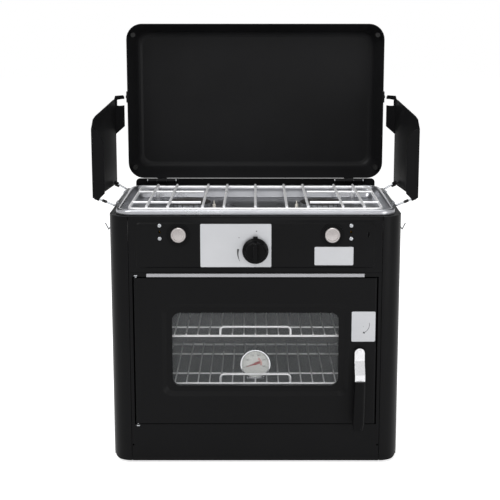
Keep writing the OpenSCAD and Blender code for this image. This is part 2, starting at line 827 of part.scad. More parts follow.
module windscreen() {
  h = screen_h;
  l = norm([screen_front_x - screen_rear_x, screen_l]);
  rear = [screen_rear_x, screen_y];
  fore = [screen_front_x, screen_y - screen_l];
  tab = [side + 2.2, screen_y + 18];
  sleeve_l = 9;
  standing_sheet(rear, fore, screen_t)
    polygon([[0, 8], [28, 6], [l - 60, 9], [l, 14], [l, h - 42], [l - 18, h - 26],
             [l - 40, h - 22], [30, h - 7], [10, h - 6], [0, h]]);
  difference() {
    standing_sheet(tab, rear, screen_t)
      polygon([[0, h - 62], [24.1, h - 76], [24.1, h], [3, h], [0, h - 3]]);
    translate([side + 8, screen_y + 11, rim_z + h - 14]) rotate([0, 0, 48]) rotate([90, 0, 0])
      linear_extrude(20, center = true) upright_slot(5, 13);
  }
  standing_sheet([fore.x - 0.2, fore.y + 0.2], [fore.x - 22, fore.y - 1], screen_t)
    polygon([[0, 14], [10, 10], [22, 22], [22, h - 66], [12, h - 46], [0, h - 42]]);
  for (y = [-1, 1]) {
    b = bail_end(y);
    a = bail_foot(y);
    d = unit(b - a);
    difference() {
      rod(b - d * sleeve_l, b, 3.4);
      rod(b - d * (sleeve_l + 1), b + d * 2, bail_r);
    }
  }
}

function screen_x(y) = screen_rear_x + (screen_y - y) / screen_l * (screen_front_x - screen_rear_x);
function bail_foot(s) = [bail_x, tray_y + s * bail_y, bail_z];
function bail_end(s) = [screen_x(tray_y + s * bail_y) - screen_t - 1.9, tray_y + s * bail_y, rim_z + 14];

// Bent wire under a windscreen: two legs and the round member that turns in the rim clips
module bail() {
  color([0.75, 0.75, 0.76])
    bent_wire([bail_end(-1), bail_foot(-1), bail_foot(1), bail_end(1)], bail_r, 5);
}

module windscreen_left() { color([0.1, 0.1, 0.1]) mirror([1, 0, 0]) windscreen(); }

module windscreen_right() { color([0.1, 0.1, 0.1]) windscreen(); }

module bail_left() { mirror([1, 0, 0]) bail(); }

module bail_right() { bail(); }

module side_hooks() {
  y = front + 60;
  color([0.6, 0.6, 0.61]) for (s = [-1, 1])
    jointed_wire([[s * (side + 1.2), y + 12, 430], [s * (side + 1.2), y, 430],
                  [s * (side + 5.5), y - 4, 424], [s * (side + 10.5), y - 8, 436]], 1.1);
}

// Door

// Pressed front of the door: rounded upright edges, and a step down to the glass
module door_outer_panel() {
  r = 4;
  d = door_back - door_front;
  step_y = front + 2.8;
  recess_w = window_w + 2 * (window_border + window_step);
  recess_h = window_h + 2 * (window_border + window_step);
  color([0.13, 0.13, 0.13]) difference() {
    union() {
      difference() {
        translate([0, door_front + d / 2, door_bottom]) linear_extrude(door_h)
          door_plan(door_w, d, r);
        translate([0, door_front + d / 2 + sheet, door_bottom + sheet])
          linear_extrude(door_h - 2 * sheet) door_plan(door_w - 2 * sheet, d, r - sheet);
        on_front(0, door_front - 1, window_z, 6)
          rounded_rect(recess_w - 0.4, recess_h - 0.4, 17.8);
      }
      translate([0, 0, window_z]) rotate([90, 0, 0]) difference() {
        hull() {
          translate([0, 0, -door_front - 0.01]) linear_extrude(0.01)
            rounded_rect(recess_w, recess_h, 18, $fn = 32);
          translate([0, 0, -step_y - sheet]) linear_extrude(0.01)
            rounded_rect(recess_w - 2 * window_step, recess_h - 2 * window_step, 15, $fn = 32);
        }
        hull() {
          translate([0, 0, -door_front + 0.01]) linear_extrude(0.01)
            rounded_rect(recess_w - 2, recess_h - 2, 17, $fn = 32);
          translate([0, 0, -step_y]) linear_extrude(0.01)
            rounded_rect(recess_w - 2 * window_step - 2, recess_h - 2 * window_step - 2, 14,
                         $fn = 32);
        }
      }
      for (z = [door_bottom + 0.3, door_top - 12.3])
        translate([door_pin_x, door_pin_y, z]) cylinder(h = 12, r = 3.8);
    }
    on_front(0, front - 4, window_z, 12) rounded_rect(window_w, window_h, 14);
    for (z = [door_bottom - 1, door_top - 13])
      translate([door_pin_x, door_pin_y, z]) cylinder(h = 14, r = pin_r + run);
    rod([latch_x, front - 5, latch_z], [latch_x, front + 3, latch_z], 4 + run);
    translate([door_w / 2 - 3, front + 8.5, latch_z - 8.5]) cube([6, 5.5, 31]);
  }
}

module door_plan(w, d, r) {
  translate([-w / 2, -d / 2 + r]) square([w, d - r]);
  translate([-w / 2 + r, -d / 2]) square([w - 2 * r, d]);
  for (x = [-1, 1]) translate([x * (w / 2 - r), -d / 2 + r]) circle(r);
}

module door_inner_panel() {
  color([0.2, 0.2, 0.2]) difference() {
    union() {
      on_front(0, door_back, door_z, sheet) square([door_w - 0.6, door_h - 0.6], center = true);
      on_front(0, front + 8.4, window_z, door_back - front - 8.4)
        rounded_rect(window_w + 6, window_h + 6, 16);
    }
    on_front(0, front + 5, window_z, 20)
      rounded_rect(window_w + 6 - 2 * sheet, window_h + 6 - 2 * sheet, 16 - sheet);
  }
}

module window_glass() {
  color([0.6, 0.65, 0.65, 0.3]) on_front(0, front + 4.1, window_z, 4.2)
    rounded_rect(window_w + 14, window_h + 14, 15);
}

// Rope seal round the back of the door
module door_gasket() {
  color([0.25, 0.25, 0.24]) on_front(0, door_back + sheet, door_z, 5.4)
    rounded_ring(oven_w + 14, door_h - 14, 8, 6);
}

module door_hinge_pins() {
  color([0.8, 0.8, 0.81]) for (s = [-1, 1])
    translate([door_pin_x, door_pin_y, door_z + s * (open_z + sheet)])
      rotate([s > 0 ? 0 : 180, 0, 0]) {
        translate([0, 0, -13.2]) cylinder(h = 15.2, r = pin_r);
        translate([0, 0, 0.02]) cylinder(h = pin_head_h, r = pin_head_r);
      }
}

module latch_plate() {
  t = 0.6;
  color([0.78, 0.78, 0.79]) difference() {
    on_front(192.8, door_front - t, 258, t) rounded_rect(42.3, 55.2, 2);
    rod([192.8, door_front - 2, 258], [192.8, door_front + 1, 258], 0.5);
  }
}

// Latch shaft, washer and the bent strap that carries the grip
module door_handle() {
  w = 18;
  t = 2;
  color([0.75, 0.75, 0.76]) {
    rod([latch_x, front - 12, latch_z], [latch_x, front + 13.5, latch_z], 4);
    rod([latch_x, front - 13.4, latch_z], [latch_x, front - 11, latch_z], 5.5);
    rod([latch_x, front - 9.5, latch_z], [latch_x, front - 2.4, latch_z], 7);
    translate([latch_x - w / 2, 0, 0]) rotate([90, 0, 90]) linear_extrude(w) polygon([
      [front - 9.5, latch_z], [front - 11.5, latch_z], [front - 11.5, latch_z - 14],
      [front - 27, latch_z - 36], [front - 27, latch_z - 52], [front - 25, latch_z - 52],
      [front - 25, latch_z - 36.6], [front - 9.5, latch_z - 14.6]]);
    rod([latch_x, front - 11.5, latch_z], [latch_x, front - 9.5, latch_z], w / 2);
  }
}

module handle_grip() {
  top = latch_z - 48;
  len = 91;
  color([0.04, 0.04, 0.04]) difference() {
    hull() for (s = [[0, 9, 6], [8, 10, 6.8], [len - 12, 10.5, 6], [len, 8, 4.6]])
      translate([latch_x - s[0] * 0.025, front - 25.2, top - s[0]])
        linear_extrude(0.01) rounded_rect(2 * s[1], 2 * s[2], s[2] - 0.4, $fn = 24);
    translate([latch_x - 9.2, front - 27.2, top - 6]) cube([18.4, 2.4, 10]);
  }
}

module latch_tongue() {
  y = front + 10;
  t = 2.5;
  reach = 31.2;
  color([0.7, 0.7, 0.71]) difference() {
    union() {
      on_front(latch_x, y, latch_z, t) circle(9);
      on_front(latch_x + reach / 2, y, latch_z, t) square([reach, 14], center = true);
    }
    rod([latch_x, y - 1, latch_z], [latch_x, y + t + 1.5, latch_z], 4);
  }
}

side_panel_left();
side_panel_right();
back_panel();
base_pan();
feet();
top_deck();
front_frame();
control_panel();
trim_strip();
case_screws();
oven_liner();
oven_floor();
rack_rails();
upper_rack();
lower_rack();
thermometer_case();
thermometer_dial();
thermometer_lens();
thermometer_pointer();
oven_burner();
oven_gas_pipe();
gas_manifold();
burner_valves();
oven_valve();
valve_stem();
oven_knob();
label_plates();
igniter_bodies();
igniter_button_left();
igniter_button_right();
gas_inlet();
inlet_plate();
hob_tray();
burner_heads();
burner_caps();
venturi_tubes();
spark_electrodes();
pan_grate();
bail_clips();
lid_pan();
lid_hinge_leaves();
body_hinge_leaves();
lid_hinge_pins();
lid_brackets();
lid_bumpers();
windscreen_left();
windscreen_right();
bail_left();
bail_right();
side_hooks();
door_outer_panel();
door_inner_panel();
window_glass();
door_gasket();
door_hinge_pins();
latch_plate();
door_handle();
handle_grip();
latch_tongue();
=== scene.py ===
"""Looks of a folding camp oven, built around its packed construction frame."""
import logging
import math
from dataclasses import dataclass, field
from enum import Enum

import bmesh
import bpy
from bmesh.types import BMesh, BMVert
from bpy.types import ID, Material, Mesh, Node, NodeSocket, NodeTree, Object
from mathutils import Matrix, Vector


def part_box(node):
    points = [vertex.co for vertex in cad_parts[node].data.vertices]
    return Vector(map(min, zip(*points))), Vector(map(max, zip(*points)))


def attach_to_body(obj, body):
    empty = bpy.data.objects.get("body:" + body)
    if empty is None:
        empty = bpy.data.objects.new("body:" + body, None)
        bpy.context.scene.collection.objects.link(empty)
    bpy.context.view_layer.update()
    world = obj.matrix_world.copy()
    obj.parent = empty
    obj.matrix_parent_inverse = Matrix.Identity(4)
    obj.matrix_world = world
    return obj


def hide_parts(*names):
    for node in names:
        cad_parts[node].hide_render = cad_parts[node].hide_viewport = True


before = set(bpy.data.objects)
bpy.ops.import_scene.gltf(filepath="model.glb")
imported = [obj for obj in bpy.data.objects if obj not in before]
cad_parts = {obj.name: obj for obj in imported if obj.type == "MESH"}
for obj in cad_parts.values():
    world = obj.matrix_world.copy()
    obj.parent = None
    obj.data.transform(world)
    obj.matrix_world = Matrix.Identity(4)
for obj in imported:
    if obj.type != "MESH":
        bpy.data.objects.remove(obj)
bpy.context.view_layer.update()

MM = 0.001
LOG = logging.getLogger("camp_oven")


def mm(*values: float) -> Vector:
    """Millimetres in the part's frame as a vector in metres."""
    return Vector(v * MM for v in values)


def linear(hex_colour: str) -> tuple[float, float, float, float]:
    """Turns an sRGB hex colour to the linear values that a shader takes.

    Args:
        hex_colour: six hex digits with a leading hash.

    Returns:
        Linear red, green, blue and an alpha of 1.
    """
    out = []
    for start in (1, 3, 5):
        c = int(hex_colour[start:start + 2], 16) / 255
        out.append(c / 12.92 if c <= 0.04045 else ((c + 0.055) / 1.055) ** 2.4)
    return (*out, 1.0)


def add_node(tree: NodeTree, kind: str, settings: dict | None = None, inputs: dict | None = None) -> Node:
    """Adds one node with its settings, values and links.

    Args:
        tree: the node tree.
        kind: the node's type name.
        settings: attributes of the node.
        inputs: socket name or number to a value, or to the socket it is linked from.

    Returns:
        The new node.
    """
    made = tree.nodes.new(kind)
    for key, value in (settings or {}).items():
        setattr(made, key, value)
    for key, value in (inputs or {}).items():
        if isinstance(value, NodeSocket):
            tree.links.new(value, made.inputs[key])
        else:
            made.inputs[key].default_value = value
    return made


def empty_tree(owner: ID) -> NodeTree:
    """Gives a material or a world a node tree with nothing in it.

    Args:
        owner: the material or the world.

    Returns:
        Its empty tree.
    """
    owner.use_nodes = True
    owner.node_tree.nodes.clear()
    return owner.node_tree


class Grain(Enum):
    """Direction of a surface's grain, as the stretch of its pattern along X, Y and Z."""
    EVEN = (1.0, 1.0, 1.0)
    BRUSHED = (0.02, 1.0, 1.0)


@dataclass(frozen=True)
class Finish:
    """One finish: its colours, shine and the size of its grain in millimetres."""
    name: str
    colour: str
    shade: str
    roughness: float
    spread: float
    grain_mm: float
    bump: float
    metallic: float = 0.0
    grain: Grain = Grain.EVEN
    alpha: float = 1.0
    specular: float = 0.5
    # Clouds of uneven coating and wear, wider than the grain
    mottle_mm: float = 111.11
    mottle_range: tuple[float, float] = (0.3, 0.7)
    # Share of the grain in the colour, and what counts as all colour and all shade
    grain_share: float = 0.5
    blend_range: tuple[float, float] = (0.45, 1.05)
    # Depth of the bump as a share of the grain's size
    depth_share: float = 0.3
    least_roughness: float = 0.02

    def make(self) -> Material:
        """Builds the material.

        Returns:
            A node material with colour, roughness and bump from object coordinates.
        """
        mat = bpy.data.materials.new(self.name)
        tree = empty_tree(mat)
        coords = add_node(tree, "ShaderNodeTexCoord")
        place = add_node(tree, "ShaderNodeMapping", None, {
            "Vector": coords.outputs["Object"], "Scale": self.grain.value})
        fine = add_node(tree, "ShaderNodeTexNoise", None, {
            "Vector": place.outputs["Vector"], "Scale": 1 / (self.grain_mm * MM),
            "Detail": 3.0, "Roughness": 0.6})
        wide = add_node(tree, "ShaderNodeTexNoise", None, {
            "Vector": coords.outputs["Object"], "Scale": 1 / (self.mottle_mm * MM),
            "Detail": 4.0})
        # In a Mix node set to colour, 0 is the factor and 6 and 7 are the two colours
        mix = add_node(tree, "ShaderNodeMix", {"data_type": "RGBA"}, {
            0: self.blend_factor(tree, fine, wide), 6: linear(self.colour), 7: linear(self.shade)})
        rough = add_node(tree, "ShaderNodeMapRange", None, {
            "Value": wide.outputs["Fac"],
            "From Min": self.mottle_range[0], "From Max": self.mottle_range[1],
            "To Min": max(self.roughness - self.spread, self.least_roughness),
            "To Max": self.roughness + self.spread})
        bump = add_node(tree, "ShaderNodeBump", None, {
            "Height": fine.outputs["Fac"], "Strength": self.bump,
            "Distance": self.grain_mm * MM * self.depth_share})
        shader = add_node(tree, "ShaderNodeBsdfPrincipled", None, {
            "Base Color": mix.outputs[2], "Metallic": self.metallic,
            "Roughness": rough.outputs["Result"], "Normal": bump.outputs["Normal"],
            "Alpha": self.alpha, "Specular IOR Level": self.specular})
        add_node(tree, "ShaderNodeOutputMaterial", None, {"Surface": shader.outputs["BSDF"]})
        return mat

    def blend_factor(self, tree: NodeTree, fine: Node, wide: Node) -> NodeSocket:
        """Mixes fine grain and wide mottling into one factor.

        Args:
            tree: the material's tree.
            fine: the grain noise.
            wide: the mottling noise.

        Returns:
            The socket that holds the factor.
        """
        added = add_node(tree, "ShaderNodeMath", {"operation": "MULTIPLY_ADD"}, {
            0: fine.outputs["Fac"], 1: self.grain_share, 2: wide.outputs["Fac"]})
        ranged = add_node(tree, "ShaderNodeMapRange", None, {
            "Value": added.outputs["Value"],
            "From Min": self.blend_range[0], "From Max": self.blend_range[1]})
        return ranged.outputs["Result"]


class Kit(Enum):
    """All finishes of the oven."""
    # Satin powder coat of the case: near black, with a soft sheen and a very fine orange peel
    CASE_BLACK = Finish("satin_black_powder_coat", "#0b0b0c", "#0e0e0f", 0.36, 0.04,
                        0.9, 0.10, specular=0.07)
    # Smoother powder coat of the lid and its hinges: its colour is painted light, a shade lighter than
    # the case's where the lid faces the light
    LID_BLACK = Finish("smooth_black_powder_coat", "#161617", "#1a1a1b", 0.34, 0.04,
                       0.8, 0.07, specular=0.06)
    # Matt powder coat of the windscreens: no sheen, so their folds show by shade alone
    SCREEN_BLACK = Finish("matt_black_powder_coat", "#0e0e0f", "#121213", 0.52, 0.04,
                          1.0, 0.08, specular=0.04)
    # Rolled stainless sheet: mid grey, with reflections drawn out from side to side
    STAINLESS = Finish("brushed_stainless_steel", "#a3a4a8", "#909195", 0.30, 0.05,
                       0.5, 0.05, metallic=0.92, grain=Grain.BRUSHED)
    # Brushed trim over the door: duller than the tray, a plain grey line
    TRIM = Finish("brushed_trim_steel", "#97979a", "#8a8a8d", 0.42, 0.04,
                  0.6, 0.05, metallic=0.85, grain=Grain.BRUSHED)
    # Chrome plate on the thermometer's case: a bright ring with sharp dark reflections
    CHROME = Finish("chrome_plated_steel", "#dcdde0", "#c9cacd", 0.12, 0.03, 3.0, 0.02, metallic=1.0)
    # Nickel plated wire of the racks and the grate: pale and even, so thin wires stay bright
    NICKEL = Finish("nickel_plated_wire", "#f2f2f3", "#e4e4e6", 0.30, 0.04, 3.0, 0.02, metallic=0.35)
    # Satin chrome of the latch strap: brighter than the sheet beside it, with soft highlights
    SATIN_CHROME = Finish("satin_chromed_steel", "#d6d6d7", "#c4c4c6", 0.24, 0.05,
                          2.0, 0.03, metallic=0.85)
    # Plated caps of the igniter buttons: a little warm beside the plates
    BUTTON_CAP = Finish("warm_plated_button", "#aba6a5", "#989392", 0.28, 0.05, 2.0, 0.03, metallic=0.85)
    # Zinc plate on screws, pins, wires and clips: grey metal with cloudy patches
    ZINC = Finish("zinc_plated_steel", "#a9abae", "#8f9194", 0.32, 0.06, 2.0, 0.05, metallic=1.0)
    # Aluminised steel inside the oven: dull grey, clouded by heat
    LINER = Finish("aluminised_liner_steel", "#66666a", "#55555a", 0.52, 0.06, 6.0, 0.06, metallic=0.35)
    # Cast aluminium of burners and pipes: pale, rough and grainy
    ALUMINIUM = Finish("cast_aluminium", "#a8a9ab", "#8d8e90", 0.45, 0.06, 1.2, 0.12, metallic=1.0)
    # Turned brass of valves and inlet: warm yellow with a soft shine
    BRASS = Finish("machined_brass", "#c9a24a", "#a9823a", 0.28, 0.05, 1.5, 0.03, metallic=1.0)
    # Burner caps blackened by heat: dark brown grey, blotched
    IRON = Finish("blackened_burner_steel", "#2d2b2a", "#3d3a38", 0.5, 0.08, 4.0, 0.10, metallic=0.6)
    # Moulded phenolic of knob and grip: the deepest black, faintly glossy
    BLACK_PLASTIC = Finish("moulded_black_phenolic", "#070708", "#0b0b0c", 0.34, 0.05,
                           1.0, 0.05, specular=0.06)
    # Moulded rubber of feet and sleeves: matt charcoal
    RUBBER = Finish("moulded_black_rubber", "#141414", "#1d1d1d", 0.75, 0.05, 1.5, 0.15, specular=0.2)
    # Anodised aluminium of the bare plates: pale satin grey with a fine brushed line
    PLATE = Finish("anodised_plate_aluminium", "#b8b9bc", "#acadb0", 0.38, 0.04,
                   0.5, 0.04, metallic=0.35, grain=Grain.BRUSHED)
    # Enamel of the dial: clean white, slightly warm
    DIAL = Finish("white_enamel_dial", "#e6e6e2", "#dcdcd8", 0.35, 0.03, 1.5, 0.02)
    # Ink of scale, numbers and marks: flat black lines
    DIAL_INK = Finish("black_dial_ink", "#161616", "#1f1f1f", 0.5, 0.03, 1.0, 0.02)
    # Ink of the hot zone: pale red that leaves the pointer readable
    ZONE = Finish("pale_red_dial_ink", "#dba7a2", "#cf9a95", 0.4, 0.03, 1.0, 0.02)
    # Lacquer of the pointer: a red that stands out from the scale
    POINTER = Finish("red_lacquered_pointer", "#a5140f", "#8f110d", 0.3, 0.03, 1.0, 0.02)
    # Glazed ceramic of the spark electrodes: cream with a wet shine
    CERAMIC = Finish("glazed_ceramic", "#e6e2d8", "#d8d3c8", 0.2, 0.03, 2.0, 0.03)
    # Glass fibre rope of the door seal: dusty grey and quite matt
    ROPE = Finish("glass_fibre_rope", "#4a4945", "#2f2e2b", 0.85, 0.05, 1.6, 0.5)
    # Tempered window glass: its grey is a painted reflection, a thin even veil over the glass that leaves
    # the racks in view
    GLASS = Finish("tempered_window_glass", "#8e9192", "#868a8b", 0.04, 0.01, 40.0, 0.0, alpha=0.09)
    # Lens over the dial: hardly seen, apart from its reflections
    LENS = Finish("thin_lens_glass", "#e8eeee", "#e2e8e8", 0.03, 0.01, 40.0, 0.0, alpha=0.05)

    def material(self) -> Material:
        """Returns the material of this finish, made on first use."""
        return bpy.data.materials.get(self.value.name) or self.value.make()


def paint(obj: Object, finish: Kit) -> None:
    """Gives an object one finish all over."""
    obj.data.materials.clear()
    obj.data.materials.append(finish.material())


def link(name: str, data: ID) -> Object:
    """Puts data into the scene as an object.

    Args:
        name: name of the object.
        data: a mesh, curve, camera or light.

    Returns:
        The new object, at the origin.
    """
    obj = bpy.data.objects.new(name, data)
    bpy.context.scene.collection.objects.link(obj)
    return obj


def mesh_object(name: str, bm: BMesh, finish: Kit) -> Object:
    """Makes a shown object from a bmesh whose points are in metres in the part's frame.

    Args:
        name: name of the object.
        bm: the shape, which is freed.
        finish: its finish.

    Returns:
        The new object.
    """
    data = bpy.data.meshes.new(name)
    bmesh.ops.recalc_face_normals(bm, faces=bm.faces)
    bm.to_mesh(data)
    bm.free()
    obj = link(name, data)
    paint(obj, finish)
    return obj


def baked_mesh(obj: Object) -> Mesh:
    """Turns an object with modifiers, or a text, into a plain mesh.

    Args:
        obj: the object, which is deleted.

    Returns:
        The mesh.
    """
    bpy.context.view_layer.update()
    graph = bpy.context.evaluated_depsgraph_get()
    data = bpy.data.meshes.new_from_object(obj.evaluated_get(graph))
    bpy.data.objects.remove(obj)
    return data


def attach(obj: Object, body: str, slot: str, *nodes: str) -> None:
    """Sets which body a piece rides on and hides the nodes it stands for.

    Args:
        obj: the piece.
        body: name of the body that carries it.
        slot: the record's material slot; not used.
        nodes: CAD nodes that the piece replaces.
    """
    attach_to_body(obj, body)
    if nodes:
        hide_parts(*nodes)
    LOG.info("piece %s rides on %s", obj.name, body)


def lathe(profile: list[tuple[float, float]], steps: int) -> BMesh:
    """Turns a profile of (radius, height) in millimetres about +Z.

    Args:
        profile: points from one end of the axis to the other.
        steps: number of sides.

    Returns:
        A closed bmesh in metres.
    """
    bm = bmesh.new()
    rings = []
    for radius, height in profile:
        if radius < 1e-6:
            rings.append([bm.verts.new(mm(0, 0, height))])
            continue
        rings.append([bm.verts.new(mm(radius * math.cos(math.tau * i / steps),
                                      radius * math.sin(math.tau * i / steps), height))
                      for i in range(steps)])
    for low, high in zip(rings, rings[1:]):
        for i in range(steps):
            j = (i + 1) % steps
            corners = [low[i % len(low)], low[j % len(low)], high[j % len(high)], high[i % len(high)]]
            unique = list(dict.fromkeys(corners))
            if len(unique) > 2:
                bm.faces.new(unique)
    for ring in (rings[0], rings[-1]):
        if len(ring) > 1:
            bm.faces.new(ring)
    for face in bm.faces:
        face.smooth = True
    return bm


def turned(degrees: float, axis: str) -> Matrix:
    """A turn about one axis of the frame."""
    return Matrix.Rotation(math.radians(degrees), 4, axis)


def facing_up(x: float, y: float, z: float) -> Matrix:
    """A frame at a point in millimetres whose +Z looks up."""
    return Matrix.Translation(mm(x, y, z))


def facing_front(x: float, y: float, z: float) -> Matrix:
    """A frame at a point in millimetres whose +Z looks to the cook."""
    return facing_up(x, y, z) @ turned(90, "X")


def facing_back(x: float, y: float, z: float) -> Matrix:
    """A frame at a point in millimetres whose +Z looks away from the cook."""
    return facing_up(x, y, z) @ turned(180, "Z") @ turned(90, "X")


class Repeater:
    """A geometry nodes tree that sets one small shape on many places."""

    def __init__(self, name: str) -> None:
        """Builds the tree with its named inputs.

        Args:
            name: name of the tree.
        """
        tree = bpy.data.node_groups.new(name, "GeometryNodeTree")
        face = tree.interface
        face.new_socket(name="Places", in_out="INPUT", socket_type="NodeSocketGeometry")
        self.shape = face.new_socket(name="Shape", in_out="INPUT", socket_type="NodeSocketObject")
        self.size = face.new_socket(name="Size", in_out="INPUT", socket_type="NodeSocketFloat")
        self.skin = face.new_socket(name="Finish", in_out="INPUT", socket_type="NodeSocketMaterial")
        face.new_socket(name="Geometry", in_out="OUTPUT", socket_type="NodeSocketGeometry")
        given = add_node(tree, "NodeGroupInput")
        shape = add_node(tree, "GeometryNodeObjectInfo", {"transform_space": "ORIGINAL"},
                         {"Object": given.outputs["Shape"]})
        turn = add_node(tree, "GeometryNodeInputNamedAttribute", {"data_type": "FLOAT_VECTOR"},
                        {"Name": "turn"})
        placed = add_node(tree, "GeometryNodeInstanceOnPoints", None, {
            "Points": given.outputs["Places"], "Instance": shape.outputs["Geometry"],
            "Rotation": turn.outputs["Attribute"], "Scale": given.outputs["Size"]})
        real = add_node(tree, "GeometryNodeRealizeInstances", None,
                        {"Geometry": placed.outputs["Instances"]})
        dressed = add_node(tree, "GeometryNodeSetMaterial", None, {
            "Geometry": real.outputs["Geometry"], "Material": given.outputs["Finish"]})
        add_node(tree, "NodeGroupOutput", None, {"Geometry": dressed.outputs["Geometry"]})
        self.tree = tree

    def run(self, name: str, shape: Object, places: list[Matrix], finish: Kit,
            size: float = 1.0) -> Object:
        """Sets the shape on every place and returns the result as a plain mesh object.

        Args:
            name: name of the piece.
            shape: the small object to repeat, which is deleted afterwards.
            places: where each copy goes.
            finish: the finish of all copies.
            size: factor on the shape's size.

        Returns:
            One object that holds all copies.
        """
        data = bpy.data.meshes.new(name + "_places")
        data.from_pydata([p.to_translation() for p in places], [], [])
        turns = data.attributes.new("turn", "FLOAT_VECTOR", "POINT")
        for i, p in enumerate(places):
            turns.data[i].vector = p.to_euler()
        holder = link(name + "_holder", data)
        modifier = holder.modifiers.new("repeat", "NODES")
        modifier.node_group = self.tree
        modifier[self.shape.identifier] = shape
        modifier[self.size.identifier] = size
        modifier[self.skin.identifier] = finish.material()
        result = baked_mesh(holder)
        result.name = name
        bpy.data.objects.remove(shape)
        return link(name, result)


@dataclass(frozen=True)
class Lamp:
    """A round area lamp: its place and size in metres and its power in watts."""
    name: str
    place: tuple[float, float, float]
    size: float
    power: float


@dataclass
class Studio:
    """Camera, floor, lamps and background."""
    distance: float = 2.155
    height: float = 0.8115
    pitch: float = 0.18
    focal_px: float = 1147.0
    shift_px: tuple[float, float] = (5.4, -30.0)
    picture_px: float = 500.0
    sensor: float = 36.0
    clip_end: float = 50.0
    floor_size: float = 12.0
    floor_colour: str = "#e4e4e4"
    # Brings the lit floor up to white for the camera and leaves its shadow
    floor_glow: float = 0.72
    soft_light: float = 0.38
    aim_height: float = 0.4
    lights: tuple[Lamp, ...] = (
        Lamp("key", (-1.3, -1.5, 2.2), 1.4, 30), Lamp("fill", (1.6, -1.8, 0.6), 1.1, 16),
        Lamp("front", (0.1, -2.4, 1.3), 0.9, 9), Lamp("top", (0.0, 0.1, 2.6), 1.8, 24),
        Lamp("back", (0.0, 2.0, 1.8), 1.6, 14))

    def build(self) -> None:
        """Makes everything that isn't part of the object."""
        self.camera()
        self.floor()
        self.lamps()
        self.world()

    def camera(self) -> None:
        """Sets the camera at the photograph's viewing angle."""
        data = bpy.data.cameras.new("camera")
        data.sensor_width = self.sensor
        data.lens = self.sensor * self.focal_px / self.picture_px
        data.shift_x = -self.shift_px[0] / self.picture_px
        data.shift_y = self.shift_px[1] / self.picture_px
        data.clip_end = self.clip_end
        cam = link("camera", data)
        cam.location = (0, -self.distance, self.height)
        cam.rotation_euler = (math.pi / 2 - self.pitch, 0, 0)
        bpy.context.scene.camera = cam

    def floor(self) -> None:
        """Lays a pale floor that keeps the object's shadow."""
        bm = bmesh.new()
        bmesh.ops.create_grid(bm, x_segments=1, y_segments=1, size=self.floor_size)
        data = bpy.data.meshes.new("floor")
        bm.to_mesh(data)
        bm.free()
        obj = link("floor", data)
        mat = bpy.data.materials.new("pale_floor")
        tree = empty_tree(mat)
        shader = add_node(tree, "ShaderNodeBsdfDiffuse", None, {"Color": linear(self.floor_colour)})
        glow = add_node(tree, "ShaderNodeEmission", None, {
            "Color": (1, 1, 1, 1), "Strength": self.floor_glow})
        both = add_node(tree, "ShaderNodeAddShader", None, {
            0: shader.outputs["BSDF"], 1: glow.outputs["Emission"]})
        mixed = add_node(tree, "ShaderNodeMixShader", None, {
            0: self.rays_that_see(tree), 1: shader.outputs["BSDF"], 2: both.outputs["Shader"]})
        add_node(tree, "ShaderNodeOutputMaterial", None, {"Surface": mixed.outputs["Shader"]})
        data.materials.append(mat)

    def rays_that_see(self, tree: NodeTree) -> NodeSocket:
        """Finds the rays that show the white background: camera, gloss and transmission.

        Args:
            tree: the floor's or the world's tree.

        Returns:
            The socket that holds 1 for such a ray and 0 for all others.
        """
        path = add_node(tree, "ShaderNodeLightPath")
        seen = path.outputs["Is Camera Ray"]
        for other in ("Is Glossy Ray", "Is Transmission Ray"):
            seen = add_node(tree, "ShaderNodeMath", {"operation": "MAXIMUM"}, {
                0: seen, 1: path.outputs[other]}).outputs["Value"]
        return seen

    def lamps(self) -> None:
        """Hangs large soft lamps over and beside the object."""
        for light in self.lights:
            data = bpy.data.lights.new(light.name, "AREA")
            data.shape = "DISK"
            data.size = light.size
            data.energy = light.power
            lamp = link(light.name, data)
            lamp.location = light.place
            aim = Vector((0, 0, self.aim_height)) - Vector(light.place)
            lamp.rotation_euler = aim.to_track_quat("-Z", "Y").to_euler()

    def world(self) -> None:
        """Gives soft even light, and white to what the camera, gloss and glass see."""
        scene = bpy.context.scene
        scene.view_settings.view_transform = "Standard"
        world = bpy.data.worlds.new("studio")
        scene.world = world
        tree = empty_tree(world)
        soft, white = (add_node(tree, "ShaderNodeBackground", None, {
            "Color": (1, 1, 1, 1), "Strength": strength}) for strength in (self.soft_light, 1.0))
        mixed = add_node(tree, "ShaderNodeMixShader", None, {
            0: self.rays_that_see(tree), 1: soft.outputs["Background"],
            2: white.outputs["Background"]})
        add_node(tree, "ShaderNodeOutputWorld", None, {"Surface": mixed.outputs["Shader"]})


